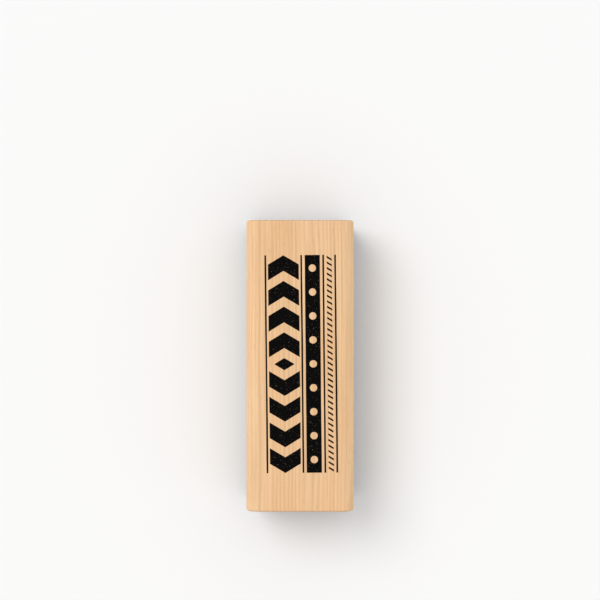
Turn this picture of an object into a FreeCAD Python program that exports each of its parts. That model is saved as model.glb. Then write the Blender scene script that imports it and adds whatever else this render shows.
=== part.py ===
import FreeCAD, Part
import os

# A small chalkboard eraser (blackboard duster): a wooden back with a sewn felt pad glued under it.
# Millimetres, +Z up. The length runs along Y, the width along X, and the wiping face lies on z = 0.
# The origin is the centre of the wiping face.

# Wooden back
LENGTH = 100.0
WIDTH = 37.0
HEIGHT = 30.0
TOP_EDGE_RADIUS = 4.5
END_EDGE_RADIUS = 0.8

# Layers under the wood, from the bottom up
FOLD_HEIGHT = 9.0
BACKING_THICKNESS = 2.0
GLUE_THICKNESS = 0.6

# Felt pad: strips folded lengthwise into a U, each standing on its two cut edges
PAD_INSET = 0.7
FOLD_COUNT = 5
FELT_THICKNESS = 3.0
FOLD_SLOT = 0.7
FOLD_CORNER_RADIUS = 2.0

# Sewing threads, pressed half round by the felt and the glue they lie against
THREAD_RADIUS = 0.3
THREAD_END_INSET = 1.5

# An edge shorter than this along an axis lies square to it
FLATNESS = 0.001

# Levels and sizes worked out from the above
BACKING_LEVEL = FOLD_HEIGHT
GLUE_LEVEL = BACKING_LEVEL + BACKING_THICKNESS
WOOD_LEVEL = GLUE_LEVEL + GLUE_THICKNESS
SLOT_FLOOR_LEVEL = FOLD_HEIGHT - FELT_THICKNESS
PAD_LENGTH = LENGTH - 2 * PAD_INSET
PAD_WIDTH = WIDTH - 2 * PAD_INSET
FOLD_WIDTH = 2 * FELT_THICKNESS + FOLD_SLOT
FOLD_PITCH = (PAD_WIDTH - FOLD_WIDTH) / (FOLD_COUNT - 1)
THREAD_LENGTH = PAD_LENGTH - 2 * THREAD_END_INSET


def arc(centre_x, centre_z, radius, start, middle, end):
    """An arc in the XZ plane through three unit directions from its centre."""
    points = []
    for direction in (start, middle, end):
        x = centre_x + radius * direction[0]
        z = centre_z + radius * direction[1]
        points.append(FreeCAD.Vector(x, 0, z))
    return Part.Arc(*points).toShape()


def line(start, end):
    """A straight edge between two (x, z) points of the XZ plane."""
    first = FreeCAD.Vector(start[0], 0, start[1])
    last = FreeCAD.Vector(end[0], 0, end[1])
    return Part.LineSegment(first, last).toShape()


def along_length(edges, length):
    """The solid that a closed outline sweeps along Y, centred on the origin."""
    face = Part.Face(Part.Wire(edges))
    face.translate(FreeCAD.Vector(0, -length / 2, 0))
    return face.extrude(FreeCAD.Vector(0, length, 0))


def flat_layer(width, length, level, thickness):
    """A rectangular sheet lying level, centred on the Z axis."""
    corner = FreeCAD.Vector(-width / 2, -length / 2, level)
    return Part.makeBox(width, length, thickness, corner)


DIAGONAL = 0.5 ** 0.5
LEFT = (-1, 0)
RIGHT = (1, 0)
UP = (0, 1)
DOWN = (0, -1)
UP_LEFT = (-DIAGONAL, DIAGONAL)
UP_RIGHT = (DIAGONAL, DIAGONAL)


def wood_outline():
    """Section of the back: flat underside, upright sides, and both top edges rounded over."""
    half = WIDTH / 2
    shoulder = HEIGHT - TOP_EDGE_RADIUS
    crown = half - TOP_EDGE_RADIUS
    return [
        line((-half, WOOD_LEVEL), (-half, shoulder)),
        arc(-crown, shoulder, TOP_EDGE_RADIUS, LEFT, UP_LEFT, UP),
        line((-crown, HEIGHT), (crown, HEIGHT)),
        arc(crown, shoulder, TOP_EDGE_RADIUS, UP, UP_RIGHT, RIGHT),
        line((half, shoulder), (half, WOOD_LEVEL)),
        line((half, WOOD_LEVEL), (-half, WOOD_LEVEL)),
    ]


def wood_block():
    """The back, with one small sanded radius round both sawn ends, from side to side over the top."""
    block = along_length(wood_outline(), LENGTH)
    end_edges = []
    for edge in block.Edges:
        box = edge.BoundBox
        square_to_length = box.YLength < FLATNESS
        if square_to_length and box.ZMax > WOOD_LEVEL + FLATNESS:
            end_edges.append(edge)
    return block.makeFillet(END_EDGE_RADIUS, end_edges)


def fold_outline(middle):
    """Section of one folded strip: an upside-down U with a narrow slot up its middle."""
    left = middle - FOLD_WIDTH / 2
    right = middle + FOLD_WIDTH / 2
    slot_left = middle - FOLD_SLOT / 2
    slot_right = middle + FOLD_SLOT / 2
    shoulder = FOLD_HEIGHT - FOLD_CORNER_RADIUS
    crown_left = left + FOLD_CORNER_RADIUS
    crown_right = right - FOLD_CORNER_RADIUS
    return [
        line((left, 0), (left, shoulder)),
        arc(crown_left, shoulder, FOLD_CORNER_RADIUS, LEFT, UP_LEFT, UP),
        line((crown_left, FOLD_HEIGHT), (crown_right, FOLD_HEIGHT)),
        arc(crown_right, shoulder, FOLD_CORNER_RADIUS, UP, UP_RIGHT, RIGHT),
        line((right, shoulder), (right, 0)),
        line((right, 0), (slot_right, 0)),
        line((slot_right, 0), (slot_right, SLOT_FLOOR_LEVEL)),
        line((slot_right, SLOT_FLOOR_LEVEL), (slot_left, SLOT_FLOOR_LEVEL)),
        line((slot_left, SLOT_FLOOR_LEVEL), (slot_left, 0)),
        line((slot_left, 0), (left, 0)),
    ]


def felt_fold(middle):
    """One strip of felt folded in two along its length."""
    return along_length(fold_outline(middle), PAD_LENGTH)


def needle_thread(middle):
    """The seam's lower thread, lying along the floor of the slot inside a fold."""
    flat = line((middle + THREAD_RADIUS, SLOT_FLOOR_LEVEL), (middle - THREAD_RADIUS, SLOT_FLOOR_LEVEL))
    round_side = arc(middle, SLOT_FLOOR_LEVEL, THREAD_RADIUS, LEFT, DOWN, RIGHT)
    return along_length([round_side, flat], THREAD_LENGTH)


def bobbin_thread(middle):
    """The seam's upper thread, lying along the top of the backing, bedded in the glue."""
    flat = line((middle - THREAD_RADIUS, GLUE_LEVEL), (middle + THREAD_RADIUS, GLUE_LEVEL))
    round_side = arc(middle, GLUE_LEVEL, THREAD_RADIUS, RIGHT, UP, LEFT)
    return along_length([round_side, flat], THREAD_LENGTH)


def glue_film(threads):
    """The dried glue between the wood and the backing, moulded round the upper threads."""
    film = flat_layer(PAD_WIDTH, PAD_LENGTH, GLUE_LEVEL, GLUE_THICKNESS)
    for thread in threads:
        film = film.cut(thread)
    return film


def felt_backing():
    """The sheet of felt that every fold is sewn to."""
    return flat_layer(PAD_WIDTH, PAD_LENGTH, BACKING_LEVEL, BACKING_THICKNESS)


os.makedirs("parts", exist_ok=True)
pieces = {"wood_block": wood_block(), "felt_backing": felt_backing()}
bobbin_threads = []
for number in range(1, FOLD_COUNT + 1):
    middle = (number - (FOLD_COUNT + 1) / 2) * FOLD_PITCH
    pieces[f"felt_fold_{number}"] = felt_fold(middle)
    pieces[f"needle_thread_{number}"] = needle_thread(middle)
    pieces[f"bobbin_thread_{number}"] = bobbin_thread(middle)
    bobbin_threads.append(pieces[f"bobbin_thread_{number}"])
pieces["glue_film"] = glue_film(bobbin_threads)

for name, shape in pieces.items():
    shape.exportStep(f"parts/{name}.step")
    print(name, len(shape.Solids), shape.isValid(), round(shape.Volume, 1))
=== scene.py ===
import math
import random

import bmesh
import bpy
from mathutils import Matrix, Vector, noise


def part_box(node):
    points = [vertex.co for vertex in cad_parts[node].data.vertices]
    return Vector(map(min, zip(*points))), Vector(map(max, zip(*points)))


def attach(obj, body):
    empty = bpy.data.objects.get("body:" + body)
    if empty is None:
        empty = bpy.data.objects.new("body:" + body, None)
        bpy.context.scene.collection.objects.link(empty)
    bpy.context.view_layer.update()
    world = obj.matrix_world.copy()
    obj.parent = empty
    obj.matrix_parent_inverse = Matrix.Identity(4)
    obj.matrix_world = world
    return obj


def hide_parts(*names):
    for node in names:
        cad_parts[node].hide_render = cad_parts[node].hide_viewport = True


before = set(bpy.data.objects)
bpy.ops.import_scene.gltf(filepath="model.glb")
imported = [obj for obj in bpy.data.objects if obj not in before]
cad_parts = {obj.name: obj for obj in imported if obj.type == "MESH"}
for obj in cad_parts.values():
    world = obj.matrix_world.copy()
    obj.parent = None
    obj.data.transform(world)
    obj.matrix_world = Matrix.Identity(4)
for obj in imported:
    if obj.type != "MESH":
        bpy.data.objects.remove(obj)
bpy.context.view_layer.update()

MM = 0.001


# ---- The wooden back ----
# One block of pale, straight-grained hardwood (basswood or soft maple), planed, rounded over along both
# top edges and sanded, and left without varnish. A maker's mark is stamped on its top in black ink.

def linear(hex_colour):
    """An sRGB hex colour as linear red, green, blue and alpha."""
    channels = [int(hex_colour[i:i + 2], 16) / 255 for i in (1, 3, 5)]
    return tuple(c / 12.92 if c <= 0.04045 else ((c + 0.055) / 1.055) ** 2.4 for c in channels) + (1.0,)


def add(tree, kind, inputs=None, **settings):
    """Adds a node: its settings first, then each input as a value or as the socket that feeds it."""
    made = tree.nodes.new(kind)
    for name, value in settings.items():
        setattr(made, name, value)
    for key, value in (inputs or {}).items():
        if isinstance(value, bpy.types.NodeSocket):
            tree.links.new(value, made.inputs[key])
        else:
            made.inputs[key].default_value = value
    return made


def new_material(name):
    """An empty material: its node tree, and the output that its shader goes to."""
    material = bpy.data.materials.new(name)
    material.use_nodes = True
    material.node_tree.nodes.clear()
    return material, material.node_tree


# These sizes are in millimetres, from the middle of the wiping face. The block was cut to one side of the
# heart of the tree, so its growth rings slant through it.
HEART = Vector((-74, 0, -30))
HEART_TO_TOP = 95
RING_SPACING = 1.25
LATE_WOOD_STARTS = 0.25
LATE_WOOD_FULL = 0.88
LATE_WOOD_ENDS = 0.9
FAINTEST_RING = 0.25
GOOD_AND_BAD_YEARS = 7
GROWTH_SWING = 2.6
SLOW_WANDER = 4.0
SLOW_WANDER_SIZE = (70, 90, 70)
QUICK_WANDER = 0.6
QUICK_WANDER_SIZE = (13, 30, 13)
STREAK_SIZE = (1.1, 60, 1.1)
STREAK_SHADES = (0.94, 1.05)
WOOD_FIBRE_SIZE = (0.35, 22, 0.35)
WOOD_FIBRE_SHADES = (0.93, 1.06)
CLOUD_SIZE = (14, 45, 14)
PORE_SPACING = (0.34, 4.5, 0.34)
PORE_LEAST = 0.1
PORE_MOST = 0.38
PORE_EDGE = 0.14
PORE_SHARE = 0.22
EARLY_WOOD = "#f1cb9f"
PINK_WOOD = "#efc293"
LATE_WOOD = "#e3b687"
PORE_BROWN = "#b98456"

# What a sawn end shows
RAY_WIDTH = 0.17
RAY_LENGTH = 8
RAY_SHARE = 0.34
END_RING_SHARPNESS = 2.0
END_RING_SHARE = 0.62
END_PORE_SHARE = 0.6
END_PATCHES_PER_MM = 0.12
END_SHADES = (0.88, 1.1)
SAW_MARK_SPACING = 1.1
SAW_CENTRE_DROP = 140
END_EARLY = "#d3a574"
END_LATE = "#9f6d3e"
END_RAY = "#e4c295"
END_PORE = "#7c5330"

# The sanded surface: the pores and the saw marks are this many times as deep as its relief
WOOD_ROUGHNESS = (0.5, 0.68)
WOOD_RELIEF = 0.03 * MM
PORE_DEPTH = 0.7
SAW_DEPTH = 1.6

# A wave texture repeats 20 times in each 2 pi of its own units.
WAVE_UNIT = math.tau / 20


def fitted(size):
    """The scale that makes one unit of a pattern this size along X, Y and Z."""
    return tuple(1 / side for side in size)


# Sanded hardwood: pale early wood and thin darker late wood in each growth ring, which run as fine
# straight lines along the block and as shallow arcs on its sawn ends. Sanding leaves it matt.
wood, tree = new_material("sanded_basswood")
place = add(tree, "ShaderNodeTexCoord")
place_mm = add(tree, "ShaderNodeVectorMath", {0: place.outputs["Object"], "Scale": 1 / MM},
               operation="SCALE").outputs[0]

slow = add(tree, "ShaderNodeMapping", {"Vector": place_mm, "Scale": fitted(SLOW_WANDER_SIZE)})
slow_wander = add(tree, "ShaderNodeTexNoise", {"Vector": slow.outputs[0], "Scale": 1.0, "Detail": 2.0})
quick = add(tree, "ShaderNodeMapping", {"Vector": place_mm, "Scale": fitted(QUICK_WANDER_SIZE)})
quick_wander = add(tree, "ShaderNodeTexNoise", {"Vector": quick.outputs[0], "Scale": 1.0, "Detail": 2.0})
from_heart = add(tree, "ShaderNodeVectorMath", {0: place_mm, 1: HEART}, operation="SUBTRACT")
across = add(tree, "ShaderNodeVectorMath", {0: from_heart.outputs[0], 1: (1, 0, 1)}, operation="MULTIPLY")
radius = add(tree, "ShaderNodeVectorMath", {0: across.outputs[0]}, operation="LENGTH")
swayed = add(tree, "ShaderNodeMath", {0: slow_wander.outputs[0], 1: SLOW_WANDER, 2: radius.outputs["Value"]},
             operation="MULTIPLY_ADD")
ruffled = add(tree, "ShaderNodeMath", {0: quick_wander.outputs[0], 1: QUICK_WANDER, 2: swayed.outputs[0]},
              operation="MULTIPLY_ADD")
years = add(tree, "ShaderNodeMath", {0: radius.outputs["Value"], 1: GOOD_AND_BAD_YEARS}, operation="DIVIDE")
growth = add(tree, "ShaderNodeTexNoise", {"W": years.outputs[0], "Scale": 1.0, "Detail": 1.0},
             noise_dimensions="1D")
grown_rings = add(tree, "ShaderNodeMath", {0: growth.outputs[0], 1: GROWTH_SWING, 2: ruffled.outputs[0]},
                  operation="MULTIPLY_ADD")
rings = add(tree, "ShaderNodeMath", {0: grown_rings.outputs[0], 1: RING_SPACING}, operation="DIVIDE")
in_ring = add(tree, "ShaderNodeMath", {0: rings.outputs[0]}, operation="FRACT")
ring_number = add(tree, "ShaderNodeMath", {0: rings.outputs[0]}, operation="FLOOR")
ring_luck = add(tree, "ShaderNodeTexWhiteNoise", {"W": ring_number.outputs[0]}, noise_dimensions="1D")
ring_strength = add(tree, "ShaderNodeMapRange",
                    {"Value": ring_luck.outputs["Value"], "To Min": FAINTEST_RING, "To Max": 1.0})
darkening = add(tree, "ShaderNodeMapRange",
                {"Value": in_ring.outputs[0], "From Min": LATE_WOOD_STARTS, "From Max": LATE_WOOD_FULL},
                interpolation_type="SMOOTHSTEP")
ring_end = add(tree, "ShaderNodeMapRange",
               {"Value": in_ring.outputs[0], "From Min": 1.0, "From Max": LATE_WOOD_ENDS},
               interpolation_type="SMOOTHSTEP")
late = add(tree, "ShaderNodeMath", {0: darkening.outputs[0], 1: ring_end.outputs[0]}, operation="MULTIPLY")
late_wood = add(tree, "ShaderNodeMath", {0: late.outputs[0], 1: ring_strength.outputs[0]},
                operation="MULTIPLY")

streak_map = add(tree, "ShaderNodeMapping", {"Vector": place_mm, "Scale": fitted(STREAK_SIZE)})
streaks = add(tree, "ShaderNodeTexNoise", {"Vector": streak_map.outputs[0], "Scale": 1.0, "Detail": 3.0})
fibre_map = add(tree, "ShaderNodeMapping", {"Vector": place_mm, "Scale": fitted(WOOD_FIBRE_SIZE)})
fibres = add(tree, "ShaderNodeTexNoise",
             {"Vector": fibre_map.outputs[0], "Scale": 1.0, "Detail": 4.0, "Roughness": 0.6})

# Pores are long tubes, so they show as short flecks along the block and as dots on its ends. They are
# drawn two or three times their real width, so that they show. Each has its own size, as a share of the
# spacing between them.
pore_map = add(tree, "ShaderNodeMapping", {"Vector": place_mm, "Scale": fitted(PORE_SPACING)})
pore_cells = add(tree, "ShaderNodeTexVoronoi", {"Vector": pore_map.outputs[0], "Scale": 1.0})
pore_luck = add(tree, "ShaderNodeSeparateXYZ", {0: pore_cells.outputs["Color"]})
pore_size = add(tree, "ShaderNodeMapRange",
                {"Value": pore_luck.outputs[0], "To Min": PORE_LEAST, "To Max": PORE_MOST})
inside_pore = add(tree, "ShaderNodeMath", {0: pore_size.outputs[0], 1: pore_cells.outputs["Distance"]},
                  operation="SUBTRACT")
pores = add(tree, "ShaderNodeMapRange", {"Value": inside_pore.outputs[0], "From Max": PORE_EDGE})

cloud_map = add(tree, "ShaderNodeMapping", {"Vector": place_mm, "Scale": fitted(CLOUD_SIZE)})
clouds = add(tree, "ShaderNodeTexNoise", {"Vector": cloud_map.outputs[0], "Scale": 1.0, "Detail": 2.0})
cloudy = add(tree, "ShaderNodeMapRange", {"Value": clouds.outputs[0], "From Min": 0.35, "From Max": 0.65})
base = add(tree, "ShaderNodeMix", {0: cloudy.outputs[0], 6: linear(EARLY_WOOD), 7: linear(PINK_WOOD)},
           data_type="RGBA")
ringed = add(tree, "ShaderNodeMix", {0: late_wood.outputs[0], 6: base.outputs[2], 7: linear(LATE_WOOD)},
             data_type="RGBA")
streak_gain = add(tree, "ShaderNodeMapRange",
                  {"Value": streaks.outputs[0], "From Min": 0.3, "From Max": 0.7,
                   "To Min": STREAK_SHADES[0], "To Max": STREAK_SHADES[1]})
fibre_gain = add(tree, "ShaderNodeMapRange",
                 {"Value": fibres.outputs[0], "From Min": 0.3, "From Max": 0.7,
                  "To Min": WOOD_FIBRE_SHADES[0], "To Max": WOOD_FIBRE_SHADES[1]})
gain = add(tree, "ShaderNodeMath", {0: streak_gain.outputs[0], 1: fibre_gain.outputs[0]},
           operation="MULTIPLY")
streaked = add(tree, "ShaderNodeVectorMath", {0: ringed.outputs[2], "Scale": gain.outputs[0]},
               operation="SCALE")
pore_amount = add(tree, "ShaderNodeMath", {0: pores.outputs[0], 1: PORE_SHARE}, operation="MULTIPLY")
pored = add(tree, "ShaderNodeMix", {0: pore_amount.outputs[0], 6: streaked.outputs[0], 7: linear(PORE_BROWN)},
            data_type="RGBA")

facing = add(tree, "ShaderNodeSeparateXYZ", {0: place.outputs["Normal"]})
end_facing = add(tree, "ShaderNodeMath", {0: facing.outputs[1]}, operation="ABSOLUTE")
end_share = add(tree, "ShaderNodeMapRange",
                {"Value": end_facing.outputs[0], "From Min": 0.45, "From Max": 0.95},
                interpolation_type="SMOOTHSTEP")

# A sawn end drinks in light, so it is darker. Its rings are crisp, thin pale rays cross them on their
# way out from the heart of the tree, and the saw left faint curved lines in it.
heart_axes = add(tree, "ShaderNodeSeparateXYZ", {0: from_heart.outputs[0]})
heart_angle = add(tree, "ShaderNodeMath", {0: heart_axes.outputs[2], 1: heart_axes.outputs[0]},
                  operation="ARCTAN2")
round_way = add(tree, "ShaderNodeMath", {0: heart_angle.outputs[0], 1: HEART_TO_TOP / RAY_WIDTH},
                operation="MULTIPLY")
out_way = add(tree, "ShaderNodeMath", {0: radius.outputs["Value"], 1: 1 / RAY_LENGTH}, operation="MULTIPLY")
ray_place = add(tree, "ShaderNodeCombineXYZ", {0: round_way.outputs[0], 1: out_way.outputs[0]})
ray_noise = add(tree, "ShaderNodeTexNoise", {"Vector": ray_place.outputs[0], "Scale": 1.0, "Detail": 2.0})
rays = add(tree, "ShaderNodeMapRange",
           {"Value": ray_noise.outputs[0], "From Min": 0.5, "From Max": 0.68, "To Max": RAY_SHARE})
end_late = add(tree, "ShaderNodeMath", {0: late.outputs[0], 1: END_RING_SHARPNESS}, operation="POWER")
end_ring = add(tree, "ShaderNodeMath", {0: end_late.outputs[0], 1: END_RING_SHARE}, operation="MULTIPLY")
end_ringed = add(tree, "ShaderNodeMix", {0: end_ring.outputs[0], 6: linear(END_EARLY), 7: linear(END_LATE)},
                 data_type="RGBA")
end_rayed = add(tree, "ShaderNodeMix", {0: rays.outputs[0], 6: end_ringed.outputs[2], 7: linear(END_RAY)},
                data_type="RGBA")
end_pore = add(tree, "ShaderNodeMath", {0: pores.outputs[0], 1: END_PORE_SHARE}, operation="MULTIPLY")
end_pored = add(tree, "ShaderNodeMix", {0: end_pore.outputs[0], 6: end_rayed.outputs[2], 7: linear(END_PORE)},
                data_type="RGBA")
end_patch = add(tree, "ShaderNodeTexNoise", {"Vector": place_mm, "Scale": END_PATCHES_PER_MM, "Detail": 3.0})
end_gain = add(tree, "ShaderNodeMapRange",
               {"Value": end_patch.outputs[0], "From Min": 0.3, "From Max": 0.7,
                "To Min": END_SHADES[0], "To Max": END_SHADES[1]})
end_colour = add(tree, "ShaderNodeVectorMath", {0: end_pored.outputs[2], "Scale": end_gain.outputs[0]},
                 operation="SCALE")
saw_map = add(tree, "ShaderNodeMapping", {"Vector": place_mm, "Location": (0, 0, SAW_CENTRE_DROP)})
saw_marks = add(tree, "ShaderNodeTexWave",
                {"Vector": saw_map.outputs[0], "Scale": WAVE_UNIT / SAW_MARK_SPACING, "Distortion": 1.5,
                 "Detail": 2.0, "Detail Scale": 0.4}, wave_type="RINGS", rings_direction="Y")
end_saw = add(tree, "ShaderNodeMath", {0: saw_marks.outputs["Fac"], 1: end_share.outputs[0]},
              operation="MULTIPLY")
end_tint = add(tree, "ShaderNodeMix",
               {0: end_share.outputs[0], 6: pored.outputs[2], 7: end_colour.outputs[0]}, data_type="RGBA")

# The stamp is a plain pattern: chevrons that point both ways along the block, in the direction of wiping,
# a solid band with dots left bare in it, a row of short slanted strokes, and thin rules beside the rows.
STAMP_MIDDLE = (0.7, 0.7, 0)
STAMP_TURN = math.radians(0.6)
STAMP_HALF_LENGTH = 37.3
RULE_WIDTH = 0.6
RULES = (-12.2, 0.1, 7.6, 11.7)
CHEVRON_ROW = -6.05
CHEVRON_HALF_HEIGHT = 5.3
CHEVRON_SLOPE = 0.6
CHEVRON_SPACING = 8.8
CHEVRON_STROKE = 5.4
BAND_ROW = 3.85
BAND_HALF_WIDTH = 2.6
DOT_SPACING = 8.2
DOT_RADIUS = 1.25
STROKE_ROW = 9.65
STROKE_COUNT = 39
STROKE_SPACING = 1.9
STROKE_WIDTH = 0.7
STROKE_HALF_HEIGHT = 0.9
STROKE_SLANT = 0.6
INK_BLACK = "#050505"
INK_CREEP = 0.2
INK_SOFTNESS = 0.08
SPECK_SIZE = (0.3, 0.5, 0.3)
SPECK_INK = 0.6

from_middle = add(tree, "ShaderNodeVectorMath", {0: place_mm, 1: STAMP_MIDDLE}, operation="SUBTRACT")
stamp_place = add(tree, "ShaderNodeVectorRotate", {"Vector": from_middle.outputs[0], "Angle": -STAMP_TURN},
                  rotation_type="Z_AXIS")
stamp_axes = add(tree, "ShaderNodeSeparateXYZ", {0: stamp_place.outputs[0]})
across_stamp = stamp_axes.outputs[0]
along_stamp = stamp_axes.outputs[1]
from_centre = add(tree, "ShaderNodeMath", {0: along_stamp}, operation="ABSOLUTE").outputs[0]
past_end = add(tree, "ShaderNodeMath", {0: from_centre, 1: STAMP_HALF_LENGTH},
               operation="SUBTRACT").outputs[0]


def distance_to_row(row, half_width):
    """How far outside a row along the stamp a point is, in millimetres, negative inside it."""
    offset = add(tree, "ShaderNodeMath", {0: across_stamp, 1: row}, operation="SUBTRACT")
    size = add(tree, "ShaderNodeMath", {0: offset.outputs[0]}, operation="ABSOLUTE")
    return add(tree, "ShaderNodeMath", {0: size.outputs[0], 1: half_width}, operation="SUBTRACT").outputs[0]


def both(first, second):
    """The distance to where two shapes overlap."""
    return add(tree, "ShaderNodeMath", {0: first, 1: second}, operation="MAXIMUM").outputs[0]


def either(first, second):
    """The distance to the nearer of two shapes."""
    return add(tree, "ShaderNodeMath", {0: first, 1: second}, operation="MINIMUM").outputs[0]


def distance_to_repeats(along, spacing, shift, half_width):
    """The distance to the nearest of a row of strokes, one every spacing."""
    moved = add(tree, "ShaderNodeMath", {0: along, 1: shift}, operation="ADD")
    wave = add(tree, "ShaderNodeMath", {0: moved.outputs[0], 1: spacing / 2}, operation="PINGPONG")
    return add(tree, "ShaderNodeMath", {0: wave.outputs[0], 1: half_width}, operation="SUBTRACT").outputs[0]


band = both(distance_to_row(BAND_ROW, BAND_HALF_WIDTH), past_end)
dot_wave = add(tree, "ShaderNodeMath", {0: along_stamp, 1: DOT_SPACING / 2}, operation="PINGPONG")
dot_row = add(tree, "ShaderNodeMath", {0: across_stamp, 1: BAND_ROW}, operation="SUBTRACT")
dot_place = add(tree, "ShaderNodeCombineXYZ", {0: dot_row.outputs[0], 1: dot_wave.outputs[0]})
dot_distance = add(tree, "ShaderNodeVectorMath", {0: dot_place.outputs[0]}, operation="LENGTH")
outside_dots = add(tree, "ShaderNodeMath", {0: DOT_RADIUS, 1: dot_distance.outputs["Value"]},
                   operation="SUBTRACT")
ink = both(band, outside_dots.outputs[0])
for row in RULES:
    ink = either(ink, both(distance_to_row(row, RULE_WIDTH / 2), past_end))

chevron_side = add(tree, "ShaderNodeMath",
                   {0: distance_to_row(CHEVRON_ROW, 0), 1: CHEVRON_SLOPE, 2: from_centre},
                   operation="MULTIPLY_ADD").outputs[0]
strokes = distance_to_repeats(chevron_side, CHEVRON_SPACING,
                              CHEVRON_STROKE / 2 - STAMP_HALF_LENGTH % CHEVRON_SPACING, CHEVRON_STROKE / 2)
past_chevrons = add(tree, "ShaderNodeMath", {0: chevron_side, 1: STAMP_HALF_LENGTH}, operation="SUBTRACT")
chevrons = both(both(strokes, past_chevrons.outputs[0]), distance_to_row(CHEVRON_ROW, CHEVRON_HALF_HEIGHT))
ink = either(ink, chevrons)

stroke_row = add(tree, "ShaderNodeMath", {0: across_stamp, 1: STROKE_ROW}, operation="SUBTRACT")
slanted = add(tree, "ShaderNodeMath", {0: stroke_row.outputs[0], 1: STROKE_SLANT, 2: along_stamp},
              operation="MULTIPLY_ADD")
slanted_distance = add(tree, "ShaderNodeMath", {0: slanted.outputs[0]}, operation="ABSOLUTE")
past_strokes = add(tree, "ShaderNodeMath",
                   {0: slanted_distance.outputs[0], 1: STROKE_COUNT * STROKE_SPACING / 2},
                   operation="SUBTRACT")
short_strokes = distance_to_repeats(slanted.outputs[0], STROKE_SPACING, 0, STROKE_WIDTH / 2)
short_strokes = both(both(short_strokes, past_strokes.outputs[0]),
                     distance_to_row(STROKE_ROW, STROKE_HALF_HEIGHT))
ink = either(ink, short_strokes)

# Ink creeps a little way along the fibres, and misses a few specks where the wood is open.
creep = add(tree, "ShaderNodeMath", {0: fibres.outputs[0], 1: INK_CREEP, 2: ink}, operation="MULTIPLY_ADD")
inked = add(tree, "ShaderNodeMapRange",
            {"Value": creep.outputs[0], "From Min": (INK_CREEP + INK_SOFTNESS) / 2,
             "From Max": (INK_CREEP - INK_SOFTNESS) / 2})
speck_map = add(tree, "ShaderNodeMapping", {"Vector": place_mm, "Scale": fitted(SPECK_SIZE)})
speck_noise = add(tree, "ShaderNodeTexNoise", {"Vector": speck_map.outputs[0], "Scale": 1.0, "Detail": 3.0})
held_ink = add(tree, "ShaderNodeMapRange",
               {"Value": speck_noise.outputs[0], "From Min": 0.72, "From Max": 0.66,
                "To Min": SPECK_INK, "To Max": 1.0})
top_only = add(tree, "ShaderNodeMapRange", {"Value": facing.outputs[2], "From Min": 0.9, "From Max": 0.95})
ink_left = add(tree, "ShaderNodeMath", {0: inked.outputs[0], 1: held_ink.outputs[0]}, operation="MULTIPLY")
ink_cover = add(tree, "ShaderNodeMath", {0: ink_left.outputs[0], 1: top_only.outputs[0]},
                operation="MULTIPLY")
wood_colour = add(tree, "ShaderNodeMix",
                  {0: ink_cover.outputs[0], 6: end_tint.outputs[2], 7: linear(INK_BLACK)}, data_type="RGBA")

wood_gloss = add(tree, "ShaderNodeMapRange",
                 {"Value": fibres.outputs[0], "To Min": WOOD_ROUGHNESS[0], "To Max": WOOD_ROUGHNESS[1]})
along_share = add(tree, "ShaderNodeMath", {0: 1.0, 1: end_share.outputs[0]}, operation="SUBTRACT")
ridges = add(tree, "ShaderNodeMath", {0: late_wood.outputs[0], 1: along_share.outputs[0]},
             operation="MULTIPLY")
grain_relief = add(tree, "ShaderNodeMath", {0: fibres.outputs[0], 1: ridges.outputs[0]}, operation="ADD")
pitted = add(tree, "ShaderNodeMath", {0: pores.outputs[0], 1: -PORE_DEPTH, 2: grain_relief.outputs[0]},
             operation="MULTIPLY_ADD")
relief = add(tree, "ShaderNodeMath", {0: end_saw.outputs[0], 1: SAW_DEPTH, 2: pitted.outputs[0]},
             operation="MULTIPLY_ADD")
grain_bump = add(tree, "ShaderNodeBump",
                 {"Height": relief.outputs[0], "Strength": 0.35, "Distance": WOOD_RELIEF})
wood_shader = add(tree, "ShaderNodeBsdfPrincipled",
                  {"Base Color": wood_colour.outputs[2], "Roughness": wood_gloss.outputs[0], "IOR": 1.5,
                   "Specular IOR Level": 0.04, "Normal": grain_bump.outputs[0]})
add(tree, "ShaderNodeOutputMaterial", {"Surface": wood_shader.outputs[0]})

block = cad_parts["wood_block"]
for slot in block.material_slots:
    slot.material = wood


# ---- The glue line ----
# A film of contact glue holds the sewn pad under the wood. It was spread by brush and pressed, so a
# little of it stands out along the edge as an uneven amber bead, and its middle is moulded to the threads.

film_low, film_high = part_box("glue_film")

BEAD_STEP = 0.4 * MM
BEAD_SIDES = 11
BEAD_LEAST = 0.06 * MM
BEAD_MOST = 0.62 * MM
BEAD_DROOP = 0.5 * MM
BEAD_USUAL = 0.4
BEAD_WAVE = 1.3
BEAD_WAVE_LENGTH = 4.0 * MM
BEAD_RIPPLE = 0.4
BEAD_RIPPLE_LENGTH = 1.2 * MM
MILK_SIZE = 2.5 * MM
GLUE_BROWN = "#8f5c28"
GLUE_AMBER = "#c9974f"

# Dried contact glue: amber, faintly milky and smooth, so it takes a soft shine.
glue, tree = new_material("dried_contact_glue")
place = add(tree, "ShaderNodeTexCoord")
milk = add(tree, "ShaderNodeTexNoise",
           {"Vector": place.outputs["Object"], "Scale": 1 / MILK_SIZE, "Detail": 3.0})
amber = add(tree, "ShaderNodeMix", {0: milk.outputs[0], 6: linear(GLUE_BROWN), 7: linear(GLUE_AMBER)},
            data_type="RGBA")
glue_bump = add(tree, "ShaderNodeBump", {"Height": milk.outputs[0], "Strength": 0.3, "Distance": 0.1 * MM})
glue_shader = add(tree, "ShaderNodeBsdfPrincipled",
                  {"Base Color": amber.outputs[2], "Roughness": 0.22, "IOR": 1.47,
                   "Normal": glue_bump.outputs[0]})
add(tree, "ShaderNodeOutputMaterial", {"Surface": glue_shader.outputs[0]})


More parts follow.
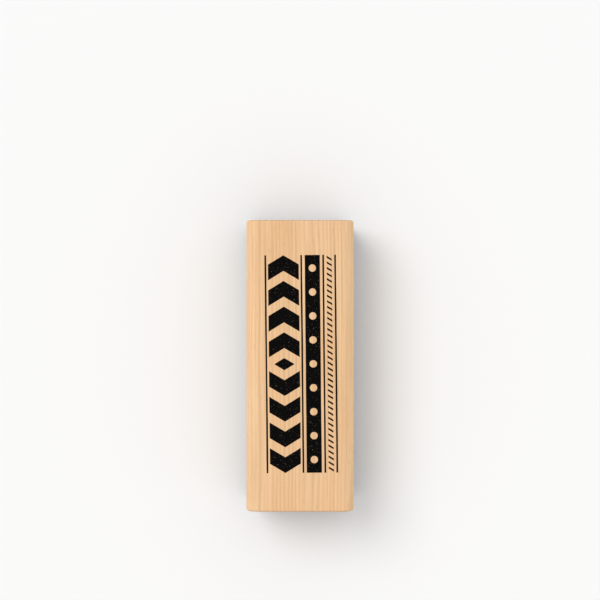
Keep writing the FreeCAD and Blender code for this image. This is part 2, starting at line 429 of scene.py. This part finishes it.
def new_piece(name, mesh, material=None):
    """A piece of the eraser: its mesh in place, its material, and its ride on the one body."""
    piece = bpy.data.objects.new(name, mesh)
    bpy.context.collection.objects.link(piece)
    if material:
        mesh.materials.append(material)
    for face in mesh.polygons:
        face.use_smooth = True
    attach(piece, "root")
    return piece


def edge_walk(low, high, step):
    """Points and outward directions at even steps round an upright rectangle's outline."""
    corners = [Vector((low[0], low[1])), Vector((high[0], low[1])),
               Vector((high[0], high[1])), Vector((low[0], high[1]))]
    walk = []
    for number, start in enumerate(corners):
        end = corners[(number + 1) % len(corners)]
        run = end - start
        outward = Vector((run.y, -run.x)).normalized()
        before = (start - corners[number - 1]).normalized()
        corner_out = (outward + Vector((before.y, -before.x))).normalized()
        walk.append((start, corner_out))
        steps = round(run.length / step)
        for i in range(1, steps):
            walk.append((start + run * (i / steps), outward))
    return walk


def glue_bead():
    """The squeezed-out glue: a D-shaped ring round the film, thick and thin by turns."""
    bead = bmesh.new()
    rings = []
    height = film_high[2] - film_low[2]
    for spot, outward in edge_walk(film_low, film_high, BEAD_STEP):
        wave = noise.noise(Vector((spot.x, spot.y, 0.003)) / BEAD_WAVE_LENGTH)
        ripple = noise.noise(Vector((spot.x, spot.y, 0.009)) / BEAD_RIPPLE_LENGTH)
        swell = min(1, max(0, BEAD_USUAL + BEAD_WAVE * wave + BEAD_RIPPLE * ripple))
        depth = BEAD_LEAST + (BEAD_MOST - BEAD_LEAST) * swell
        ring = []
        for side in range(BEAD_SIDES):
            turn = math.pi * side / (BEAD_SIDES - 1)
            z = film_high[2] - height * (1 - math.cos(turn)) / 2
            if turn > math.pi / 2:
                z -= BEAD_DROOP * swell * math.sin(turn)
            out = spot + outward * depth * math.sin(turn)
            ring.append(bead.verts.new((out.x, out.y, z)))
        rings.append(ring)
    for number, ring in enumerate(rings):
        following = rings[(number + 1) % len(rings)]
        for side in range(BEAD_SIDES):
            after = (side + 1) % BEAD_SIDES
            bead.faces.new((ring[side], ring[after], following[after], following[side]))
    bmesh.ops.recalc_face_normals(bead, faces=bead.faces)
    mesh = bpy.data.meshes.new("glue_bead")
    bead.to_mesh(mesh)
    bead.free()
    return mesh


bead = new_piece("glue_bead", glue_bead(), glue)
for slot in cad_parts["glue_film"].material_slots:
    slot.material = glue


# ---- The felt ----
# Pressed wool felt, charcoal with paler fibres from reclaimed wool. One flat sheet, 2 mm thick, takes the
# glue, and five 3 mm strips folded lengthwise are sewn under it, so that ten cut edges wipe the board.

FOLDS = [f"felt_fold_{number}" for number in range(1, 6)]
pad_low, pad_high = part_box("felt_backing")
fold_low, fold_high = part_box(FOLDS[0])
slot_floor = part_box("needle_thread_1")[1][2]
FELT_SHEET = pad_high[2] - pad_low[2]
FELT = fold_high[2] - slot_floor
SLOT = (fold_high[0] - fold_low[0]) - 2 * FELT
BEND = (SLOT + FELT) / 2
FELT_LENGTH = fold_high[1] - fold_low[1]
LEG = slot_floor - fold_low[2]
FOLD_FLAT_WIDTH = 2 * LEG + math.pi * BEND
FELT_STEP = 0.5 * MM
SHEET_STEPS_ACROSS = 24
SHEET_STEPS_THROUGH = 5
FOLD_STEPS_THROUGH = 6
CUT_SOFTNESS = 0.3 * MM
CUT_ROUNDING = 4
EDGE_GRIP = 31
FOOT_GRIP = 8
SWELL_HEIGHT = 0.05 * MM
SWELL_LENGTH = 3.2 * MM
KNOT_HEIGHT = 0.035 * MM
KNOT_LENGTH = 0.9 * MM
SHEET_RAGGED = 2.5
FOLD_RAGGED = 2.2
END_SLIP = (-0.3 * MM, 0.25 * MM)
LEG_SWAY = 0.1 * MM
LEG_SWAY_LENGTH = 17 * MM
LEG_SPREAD = 0.04
CUT_RISE = 0.08 * MM
CUT_RISE_LENGTH = 2.5 * MM
BARE_DEPTH = 1.6 * MM
FLOOR_GAP = 0.02 * MM
HEATHER_SIZE = 0.45 * MM
FELT_PATCH = 9 * MM
FELT_SHADES = (0.85, 1.15)
CHARCOAL = "#2a2c30"
PALER_CHARCOAL = "#7a7c7f"

# Pressed wool felt: no weave, but fibres matted every way, so it is mottled at the width of a few fibres
# and quite matt, with a faint pale sheen from the loose ends.
felt, tree = new_material("pressed_wool_felt")
place = add(tree, "ShaderNodeTexCoord")
mottle = []
for stretch in ((1, 0.22, 0.5), (0.22, 1, 0.5), (0.5, 0.22, 1), (1, 0.5, 0.22)):
    scale = tuple(side / HEATHER_SIZE for side in stretch)
    lie = add(tree, "ShaderNodeMapping",
              {"Vector": place.outputs["Object"], "Scale": scale, "Rotation": stretch})
    mottle.append(add(tree, "ShaderNodeTexNoise",
                      {"Vector": lie.outputs[0], "Scale": 1.0, "Detail": 4.0, "Roughness": 0.65}))
matted = mottle[0]
for fibres_this_way in mottle[1:]:
    matted = add(tree, "ShaderNodeMath", {0: matted.outputs[0], 1: fibres_this_way.outputs[0]},
                 operation="MAXIMUM")
paler = add(tree, "ShaderNodeMapRange", {"Value": matted.outputs[0], "From Min": 0.5, "From Max": 0.78})
charcoal = add(tree, "ShaderNodeMix", {0: paler.outputs[0], 6: linear(CHARCOAL), 7: linear(PALER_CHARCOAL)},
               data_type="RGBA")
patch = add(tree, "ShaderNodeTexNoise",
            {"Vector": place.outputs["Object"], "Scale": 1 / FELT_PATCH, "Detail": 2.0})
patch_gain = add(tree, "ShaderNodeMapRange",
                 {"Value": patch.outputs[0], "From Min": 0.3, "From Max": 0.7,
                  "To Min": FELT_SHADES[0], "To Max": FELT_SHADES[1]})
patchy = add(tree, "ShaderNodeVectorMath", {0: charcoal.outputs[2], "Scale": patch_gain.outputs[0]},
             operation="SCALE")
felt_bump = add(tree, "ShaderNodeBump", {"Height": matted.outputs[0], "Strength": 0.8, "Distance": 0.25 * MM})
felt_shader = add(tree, "ShaderNodeBsdfPrincipled",
                  {"Base Color": patchy.outputs[0], "Roughness": 0.95, "Sheen Weight": 0.25,
                   "Sheen Roughness": 0.5, "Normal": felt_bump.outputs[0]})
add(tree, "ShaderNodeOutputMaterial", {"Surface": felt_shader.outputs[0]})


def felt_mesh(name, width_steps, deep_steps, length_steps, shape, bare):
    """A closed slab of felt. shape places a point from its fractions across the sheet, through its
    thickness (-1 to 1) and along its length, and bare says how open to the air it is, from 0 to 1."""
    slab = bmesh.new()
    open_layer = slab.verts.layers.float.new("open_to_air")
    counts = (width_steps, deep_steps, length_steps)
    corner_of = {}

    def corner(index):
        if index not in corner_of:
            a = index[0] / width_steps
            b = 2 * index[1] / deep_steps - 1
            c = index[2] / length_steps
            corner_of[index] = slab.verts.new(shape(a, b, c))
            corner_of[index][open_layer] = bare(a, b, c)
        return corner_of[index]

    for fixed in range(3):
        first, second = [axis for axis in range(3) if axis != fixed]
        for level in (0, counts[fixed]):
            for i in range(counts[first]):
                for j in range(counts[second]):
                    ring = []
                    for di, dj in ((0, 0), (1, 0), (1, 1), (0, 1)):
                        index = [0, 0, 0]
                        index[fixed] = level
                        index[first] = i + di
                        index[second] = j + dj
                        ring.append(corner(tuple(index)))
                    slab.faces.new(ring)
    bmesh.ops.recalc_face_normals(slab, faces=slab.faces)
    mesh = bpy.data.meshes.new(name)
    slab.to_mesh(mesh)
    slab.free()
    return mesh


def lumps(point, seed):
    """The uneven surface of felt, in metres: soft swells with finer knots on them."""
    shifted = point + Vector((seed, seed * 2, seed * 3))
    swell = SWELL_HEIGHT * noise.noise(shifted / SWELL_LENGTH)
    knot = KNOT_HEIGHT * noise.noise(shifted / KNOT_LENGTH)
    return swell + knot


def sheet_shape(a, b, c):
    """A point of the flat backing, with softly cut edges."""
    half_width = (pad_high[0] - pad_low[0]) / 2
    half_length = (pad_high[1] - pad_low[1]) / 2
    soft = CUT_SOFTNESS * abs(b) ** CUT_ROUNDING
    x_share = 2 * a - 1
    y_share = 2 * c - 1
    x = x_share * (half_width - soft)
    y = y_share * (half_length - soft)
    z = (pad_low[2] + pad_high[2]) / 2 + b * FELT_SHEET / 2
    ragged = SHEET_RAGGED * lumps(Vector((x, y, z)), 0.5)
    x += ragged * x_share ** EDGE_GRIP
    y += ragged * y_share ** EDGE_GRIP
    return Vector((x, y, z))


def sheet_bare(a, b, c):
    """Only the cut edges of the backing are open to the air."""
    return 1.0 if a in (0, 1) or c in (0, 1) else 0.0


sheet_mesh = felt_mesh("felt_sheet", SHEET_STEPS_ACROSS, SHEET_STEPS_THROUGH, round(FELT_LENGTH / FELT_STEP),
                       sheet_shape, sheet_bare)
backing = new_piece("felt_sheet", sheet_mesh, felt)
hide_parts("felt_backing")


def fold_shape_for(number):
    """How one folded strip is shaped, with its own sway and unevenly cut ends, and how bare it is."""
    low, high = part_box(FOLDS[number])
    middle = (low[0] + high[0]) / 2
    seed = 0.37 * (number + 1)
    luck = random.Random(number + 11)
    end_slip = [luck.uniform(*END_SLIP), luck.uniform(*END_SLIP)]

    def shape(a, b, c):
        y = low[1] + end_slip[0] + c * (FELT_LENGTH - end_slip[0] + end_slip[1])
        reach = a * FOLD_FLAT_WIDTH
        out = b * FELT / 2
        # Two legs hang down, with a slight sway and spread towards their feet, and a half circle joins them.
        if reach < LEG or reach > FOLD_FLAT_WIDTH - LEG:
            side = -1 if reach < LEG else 1
            z = reach if side < 0 else FOLD_FLAT_WIDTH - reach
            down = 1 - z / LEG
            x = side * (BEND + out * (1 + LEG_SPREAD * down ** 3))
            sway = noise.noise(Vector((y / LEG_SWAY_LENGTH, side * 3.1, seed)))
            x += LEG_SWAY * sway * down ** 2
            outward = Vector((side, 0, 0))
            z += CUT_SOFTNESS * abs(b) ** CUT_ROUNDING * down ** FOOT_GRIP
            cut = noise.noise(Vector((y / CUT_RISE_LENGTH, side * 2.2, seed + b)))
            z += CUT_RISE * (1 + cut) * down ** FOOT_GRIP
        else:
            turn = (reach - LEG) / BEND
            ring = BEND + out
            x = -ring * math.cos(turn)
            z = LEG + ring * math.sin(turn)
            outward = Vector((-math.cos(turn), 0, math.sin(turn)))
        point = Vector((middle + x, y, low[2] + z))
        point += outward * b * lumps(point, seed)
        end_share = (2 * c - 1) ** EDGE_GRIP
        point.y -= CUT_SOFTNESS * abs(b) ** CUT_ROUNDING * end_share
        point.y += FOLD_RAGGED * lumps(point, seed + 5) * end_share
        point.z = min(point.z, high[2])
        point.z = max(point.z, FLOOR_GAP)
        return point

    outer = number in (0, len(FOLDS) - 1)

    def bare(a, b, c):
        if c in (0, 1) or a in (0, 1):
            return 1.0
        reach = min(a, 1 - a) * FOLD_FLAT_WIDTH
        on_outside = b == 1 and outer and (a < 0.5) == (number == 0)
        if on_outside:
            return 1.0 if reach < LEG + BEND * 0.8 else 0.0
        return max(0.0, 1 - reach / BARE_DEPTH)

    return shape, bare


fold_pieces = []
for number, node in enumerate(FOLDS):
    shape, bare = fold_shape_for(number)
    mesh = felt_mesh(f"folded_felt_{number + 1}", round(FOLD_FLAT_WIDTH / FELT_STEP), FOLD_STEPS_THROUGH,
                     round(FELT_LENGTH / FELT_STEP), shape, bare)
    fold = new_piece(f"folded_felt_{number + 1}", mesh, felt)
    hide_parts(node)
    fold_pieces.append(fold)


# ---- The nap ----
# Loose ends of wool stand out of the felt wherever it is open to the air. They lie every way, mostly
# close to the surface, and are flattened where the eraser stands on them.

FIBRE_THICK = 0.045 * MM
FIBRE_LONG = 0.8 * MM
FIBRES_PER_SQUARE_METRE = 7.6e6
FIBRE_SIDES = 3
FIBRE_BENDS = 2
FIBRE_LONG_SHARES = (0.55, 1.35)
FIBRE_TIP = 0.35
FIBRE_LEAN_LEAST = (math.radians(48), 0, 0)
FIBRE_LEAN_MOST = (math.radians(88), 0, math.tau)
DYE_SEED = 5
NAP_SEED = 20
WOOLS = (("charcoal_wool_fibre", "#303237"), ("grey_wool_fibre", "#6b6d70"), ("pale_wool_fibre", "#a7a6a1"))
WOOL_SHARES = (0.5, 0.93)

# Single wool fibres, dyed before felting: each is one colour from end to end and matt with a little sheen.
# They are drawn about twice their real width, so that they show.
wool_materials = []
for wool_name, wool_colour in WOOLS:
    wool, tree = new_material(wool_name)
    wool_shader = add(tree, "ShaderNodeBsdfPrincipled",
                      {"Base Color": linear(wool_colour), "Roughness": 0.8, "Sheen Weight": 0.3,
                       "Sheen Roughness": 0.5})
    add(tree, "ShaderNodeOutputMaterial", {"Surface": wool_shader.outputs[0]})
    wool_materials.append(wool)


def new_tree(name, inputs):
    """A Geometry Nodes tree with a mesh in and out and the named inputs: its group input and output."""
    tree = bpy.data.node_groups.new(name, "GeometryNodeTree")
    tree.interface.new_socket("Geometry", in_out="INPUT", socket_type="NodeSocketGeometry")
    tree.interface.new_socket("Geometry", in_out="OUTPUT", socket_type="NodeSocketGeometry")
    for label, kind in inputs:
        tree.interface.new_socket(label, in_out="INPUT", socket_type=kind)
    return tree, tree.nodes.new("NodeGroupInput").outputs, tree.nodes.new("NodeGroupOutput").inputs


def grown_mesh(mesh, tree, values):
    """The plain mesh that the tree makes from a mesh with these input values."""
    seedling = bpy.data.objects.new("seedling", mesh)
    bpy.context.collection.objects.link(seedling)
    modifier = seedling.modifiers.new("grow", "NODES")
    modifier.node_group = tree
    for socket in tree.interface.items_tree:
        if socket.in_out == "INPUT" and socket.name in values:
            modifier[socket.identifier] = values[socket.name]
    graph = bpy.context.evaluated_depsgraph_get()
    grown = bpy.data.meshes.new_from_object(seedling.evaluated_get(graph), preserve_all_data_layers=True,
                                            depsgraph=graph)
    seedling.modifiers.clear()
    bpy.data.objects.remove(seedling)
    if grown.materials[0] is None:
        grown.materials.pop(index=0)
    return grown


nap, given, result = new_tree("wool_nap", [
    ("Density", "NodeSocketFloat"), ("Fibre length", "NodeSocketFloat"), ("Fibre width", "NodeSocketFloat"),
    ("Floor gap", "NodeSocketFloat"), ("Seed", "NodeSocketInt")])
open_share = add(nap, "GeometryNodeInputNamedAttribute", {"Name": "open_to_air"}, data_type="FLOAT")
density = add(nap, "ShaderNodeMath", {0: open_share.outputs[0], 1: given["Density"]}, operation="MULTIPLY")
roots = add(nap, "GeometryNodeDistributePointsOnFaces",
            {"Mesh": given["Geometry"], "Density": density.outputs[0], "Seed": given["Seed"]})
curl = add(nap, "GeometryNodeCurvePrimitiveBezierSegment",
           {"Resolution": FIBRE_BENDS, "Start": (0, 0, -0.12), "Start Handle": (0.05, 0, 0.3),
            "End Handle": (0.3, 0.12, 0.62), "End": (0.05, 0.3, 0.9)})
along = add(nap, "GeometryNodeSplineParameter")
taper = add(nap, "ShaderNodeMapRange", {"Value": along.outputs["Factor"], "To Min": 1.0, "To Max": FIBRE_TIP})
relative = add(nap, "ShaderNodeMath", {0: given["Fibre width"], 1: given["Fibre length"]}, operation="DIVIDE")
section = add(nap, "GeometryNodeCurvePrimitiveCircle", {"Resolution": FIBRE_SIDES, "Radius": 0.5})
thickness = add(nap, "ShaderNodeMath", {0: taper.outputs[0], 1: relative.outputs[0]}, operation="MULTIPLY")
fibre = add(nap, "GeometryNodeCurveToMesh", {"Curve": curl.outputs[0], "Profile Curve": section.outputs[0],
                                             "Scale": thickness.outputs[0], "Fill Caps": True})
lean = add(nap, "FunctionNodeRandomValue",
           {0: FIBRE_LEAN_LEAST, 1: FIBRE_LEAN_MOST, "Seed": given["Seed"]}, data_type="FLOAT_VECTOR")
size = add(nap, "FunctionNodeRandomValue",
           {2: FIBRE_LONG_SHARES[0], 3: FIBRE_LONG_SHARES[1], "Seed": given["Seed"]})
size_now = add(nap, "ShaderNodeMath", {0: size.outputs[1], 1: given["Fibre length"]}, operation="MULTIPLY")
fibres_out = add(nap, "GeometryNodeInstanceOnPoints",
                 {"Points": roots.outputs["Points"], "Instance": fibre.outputs[0],
                  "Rotation": roots.outputs["Rotation"], "Scale": size_now.outputs[0]})
leaning = add(nap, "GeometryNodeRotateInstances",
              {"Instances": fibres_out.outputs[0], "Rotation": lean.outputs[0]})
luck = add(nap, "FunctionNodeRandomValue", {2: 0.0, 3: 1.0, "Seed": DYE_SEED})
marked = add(nap, "GeometryNodeStoreNamedAttribute",
             {"Geometry": leaning.outputs[0], "Name": "dye", "Value": luck.outputs[1]},
             data_type="FLOAT", domain="INSTANCE")
plain = add(nap, "GeometryNodeRealizeInstances", {"Geometry": marked.outputs[0]})
where = add(nap, "GeometryNodeInputPosition")
where_axes = add(nap, "ShaderNodeSeparateXYZ", {0: where.outputs[0]})
pressed = add(nap, "ShaderNodeMath", {0: where_axes.outputs[2], 1: given["Floor gap"]}, operation="MAXIMUM")
pressed_place = add(nap, "ShaderNodeCombineXYZ",
                    {0: where_axes.outputs[0], 1: where_axes.outputs[1], 2: pressed.outputs[0]})
flattened = add(nap, "GeometryNodeSetPosition",
                {"Geometry": plain.outputs[0], "Position": pressed_place.outputs[0]})
dye = add(nap, "GeometryNodeInputNamedAttribute", {"Name": "dye"}, data_type="FLOAT")
coloured = add(nap, "GeometryNodeSetMaterial",
               {"Geometry": flattened.outputs[0], "Material": wool_materials[0]})
for wool, share in zip(wool_materials[1:], WOOL_SHARES):
    chosen = add(nap, "FunctionNodeCompare", {0: dye.outputs[0], 1: share}, operation="GREATER_THAN")
    coloured = add(nap, "GeometryNodeSetMaterial",
                   {"Geometry": coloured.outputs[0], "Selection": chosen.outputs[0], "Material": wool})
nap.links.new(coloured.outputs[0], result["Geometry"])

for number, felt_piece in enumerate([backing, *fold_pieces]):
    fibres_mesh = grown_mesh(felt_piece.data, nap, {
        "Density": FIBRES_PER_SQUARE_METRE, "Fibre length": FIBRE_LONG, "Fibre width": FIBRE_THICK,
        "Floor gap": FLOOR_GAP, "Seed": NAP_SEED + number})
    tuft = new_piece(f"{felt_piece.name}_nap", fibres_mesh)


# ---- The seams ----
# Each fold is sewn to the sheet by one row of lockstitch down the middle of its bend. The lower thread
# shows as a row of short stitches deep in the fold, and the upper one is buried in the glue.

STITCH = 3.6 * MM
THREAD = 0.42 * MM
STITCH_SIDES = 7
STITCH_BENDS = 8
PLY = 0.5 * MM
PLY_SLANT = math.radians(35)
THREAD_GROOVE_PAINTED_SHADE = "#aea692"
THREAD_LIGHT = "#e4dfd0"

# Spun cotton sewing thread, unbleached: matt and off-white, with the slant of its twisted plies and painted
# shade in the grooves between them.
cotton, tree = new_material("twisted_cotton_thread")
place = add(tree, "ShaderNodeTexCoord")
slant = add(tree, "ShaderNodeMapping", {"Vector": place.outputs["Object"], "Rotation": (0, 0, PLY_SLANT)})
plies = add(tree, "ShaderNodeTexWave",
            {"Vector": slant.outputs[0], "Scale": WAVE_UNIT / PLY, "Distortion": 1.0, "Detail": 1.0},
            bands_direction="Y")
# The darker bands are painted shade in the slanting grooves between the plies; the paler bands are the
# thread's own off-white.
ply_colour_with_painted_shade = add(tree, "ShaderNodeMix",
                   {0: plies.outputs["Fac"], 6: linear(THREAD_GROOVE_PAINTED_SHADE), 7: linear(THREAD_LIGHT)},
                   data_type="RGBA")
twist_bump = add(tree, "ShaderNodeBump",
                 {"Height": plies.outputs["Fac"], "Strength": 0.6, "Distance": 0.06 * MM})
cotton_shader = add(tree, "ShaderNodeBsdfPrincipled",
                    {"Base Color": ply_colour_with_painted_shade.outputs[2], "Roughness": 0.85, "Sheen Weight": 0.2,
                     "Normal": twist_bump.outputs[0]})
add(tree, "ShaderNodeOutputMaterial", {"Surface": cotton_shader.outputs[0]})

seam, given, result = new_tree("lockstitch_row", [
    ("First stitch", "NodeSocketVector"), ("Stitch length", "NodeSocketFloat"),
    ("Thread width", "NodeSocketFloat"), ("Stitches", "NodeSocketInt")])
pitch = add(seam, "ShaderNodeCombineXYZ", {1: given["Stitch length"]})
spots = add(seam, "GeometryNodeMeshLine",
            {"Count": given["Stitches"], "Start Location": given["First stitch"], "Offset": pitch.outputs[0]})
loop = add(seam, "GeometryNodeCurvePrimitiveBezierSegment",
           {"Resolution": STITCH_BENDS, "Start": (0, 0.04, 0.22), "Start Handle": (0, 0.04, -0.1),
            "End Handle": (0, 0.96, -0.1), "End": (0, 0.96, 0.22)})
relative = add(seam, "ShaderNodeMath", {0: given["Thread width"], 1: given["Stitch length"]},
               operation="DIVIDE")
section = add(seam, "GeometryNodeCurvePrimitiveCircle", {"Resolution": STITCH_SIDES, "Radius": 0.5})
stitch = add(seam, "GeometryNodeCurveToMesh", {"Curve": loop.outputs[0], "Profile Curve": section.outputs[0],
                                               "Scale": relative.outputs[0], "Fill Caps": True})
row = add(seam, "GeometryNodeInstanceOnPoints", {"Points": spots.outputs[0], "Instance": stitch.outputs[0],
                                                 "Scale": given["Stitch length"]})
sewn = add(seam, "GeometryNodeRealizeInstances", {"Geometry": row.outputs[0]})
sewn_cotton = add(seam, "GeometryNodeSetMaterial", {"Geometry": sewn.outputs[0], "Material": cotton})
seam.links.new(sewn_cotton.outputs[0], result["Geometry"])

for number, fold in enumerate(fold_pieces):
    node = f"needle_thread_{number + 1}"
    low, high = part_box(node)
    stitches = int((high[1] - low[1]) / STITCH)
    spare = (high[1] - low[1]) - stitches * STITCH
    start = ((low[0] + high[0]) / 2, low[1] + spare / 2, high[2] + SLOT / 2 - THREAD / 2)
    row_mesh = grown_mesh(bpy.data.meshes.new(node), seam, {
        "First stitch": start, "Stitch length": STITCH, "Thread width": THREAD, "Stitches": stitches})
    stitch_row = new_piece(f"needle_stitches_{number + 1}", row_mesh)
    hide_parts(node)
    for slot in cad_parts[f"bobbin_thread_{number + 1}"].material_slots:
        slot.material = cotton


# ---- Floor, light and camera ----
# The eraser stands on a matt white board in a pale studio. A large soft lamp lights it from the upper left
# and a weak one fills in from the lower right. The camera looks straight down.

FLOOR_HALF = 2.0
FLOOR_WHITE = "#fafaf9"
floor_mesh = bpy.data.meshes.new("floor")
corners = [(-FLOOR_HALF, -FLOOR_HALF, 0), (FLOOR_HALF, -FLOOR_HALF, 0),
           (FLOOR_HALF, FLOOR_HALF, 0), (-FLOOR_HALF, FLOOR_HALF, 0)]
floor_mesh.from_pydata(corners, [], [(0, 1, 2, 3)])
floor = bpy.data.objects.new("floor", floor_mesh)
bpy.context.collection.objects.link(floor)
# White card: matt, so that the shadow on it is soft and nothing shines.
board, tree = new_material("matt_white_board")
floor_shader = add(tree, "ShaderNodeBsdfPrincipled", {"Base Color": linear(FLOOR_WHITE), "Roughness": 0.8})
add(tree, "ShaderNodeOutputMaterial", {"Surface": floor_shader.outputs[0]})
floor_mesh.materials.append(board)

# The studio's pale walls are brighter than its ceiling, and as bright as the floor that meets them.
WALL_LIGHT = 0.98
CEILING_LIGHT = 0.74
CEILING_STARTS = 0.3
STUDIO_WHITE = "#fbfbfc"
world = bpy.data.worlds.new("studio")
bpy.context.scene.world = world
world.use_nodes = True
tree = world.node_tree
tree.nodes.clear()
look = add(tree, "ShaderNodeTexCoord")
look_axes = add(tree, "ShaderNodeSeparateXYZ", {0: look.outputs["Generated"]})
wall_to_ceiling = add(tree, "ShaderNodeMapRange",
                      {"Value": look_axes.outputs[2], "From Max": CEILING_STARTS,
                       "To Min": WALL_LIGHT, "To Max": CEILING_LIGHT})
studio = add(tree, "ShaderNodeBackground",
             {"Color": linear(STUDIO_WHITE), "Strength": wall_to_ceiling.outputs[0]})
add(tree, "ShaderNodeOutputWorld", {"Surface": studio.outputs[0]})


def far_lamp(name, place, softness, strength):
    """A large lamp far off in this direction, so that it lights the whole floor evenly. Its softness is how
    wide it looks from the eraser."""
    lamp = bpy.data.lights.new(name, "SUN")
    lamp.angle = softness
    lamp.energy = strength
    lamp_object = bpy.data.objects.new(name, lamp)
    lamp_object.rotation_euler = Vector(place).to_track_quat("Z", "Y").to_euler()
    bpy.context.collection.objects.link(lamp_object)


far_lamp("key_lamp", (-0.5, 0.4, 0.85), math.radians(36), 1.05)
far_lamp("fill_lamp", (0.6, -0.5, 0.5), math.radians(60), 0.1)

WOOD_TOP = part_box("wood_block")[1][2]
CAMERA_ABOVE = 550 * MM
CAMERA_AHEAD = 22.6 * MM
SEEN_WIDTH = 205.5 * MM
camera_data = bpy.data.cameras.new("camera")
camera_data.lens = camera_data.sensor_width * CAMERA_ABOVE / SEEN_WIDTH
camera = bpy.data.objects.new("camera", camera_data)
camera.location = (0, CAMERA_AHEAD, WOOD_TOP + CAMERA_ABOVE)
bpy.context.collection.objects.link(camera)
bpy.context.scene.camera = camera
bpy.context.scene.view_settings.view_transform = "Standard"
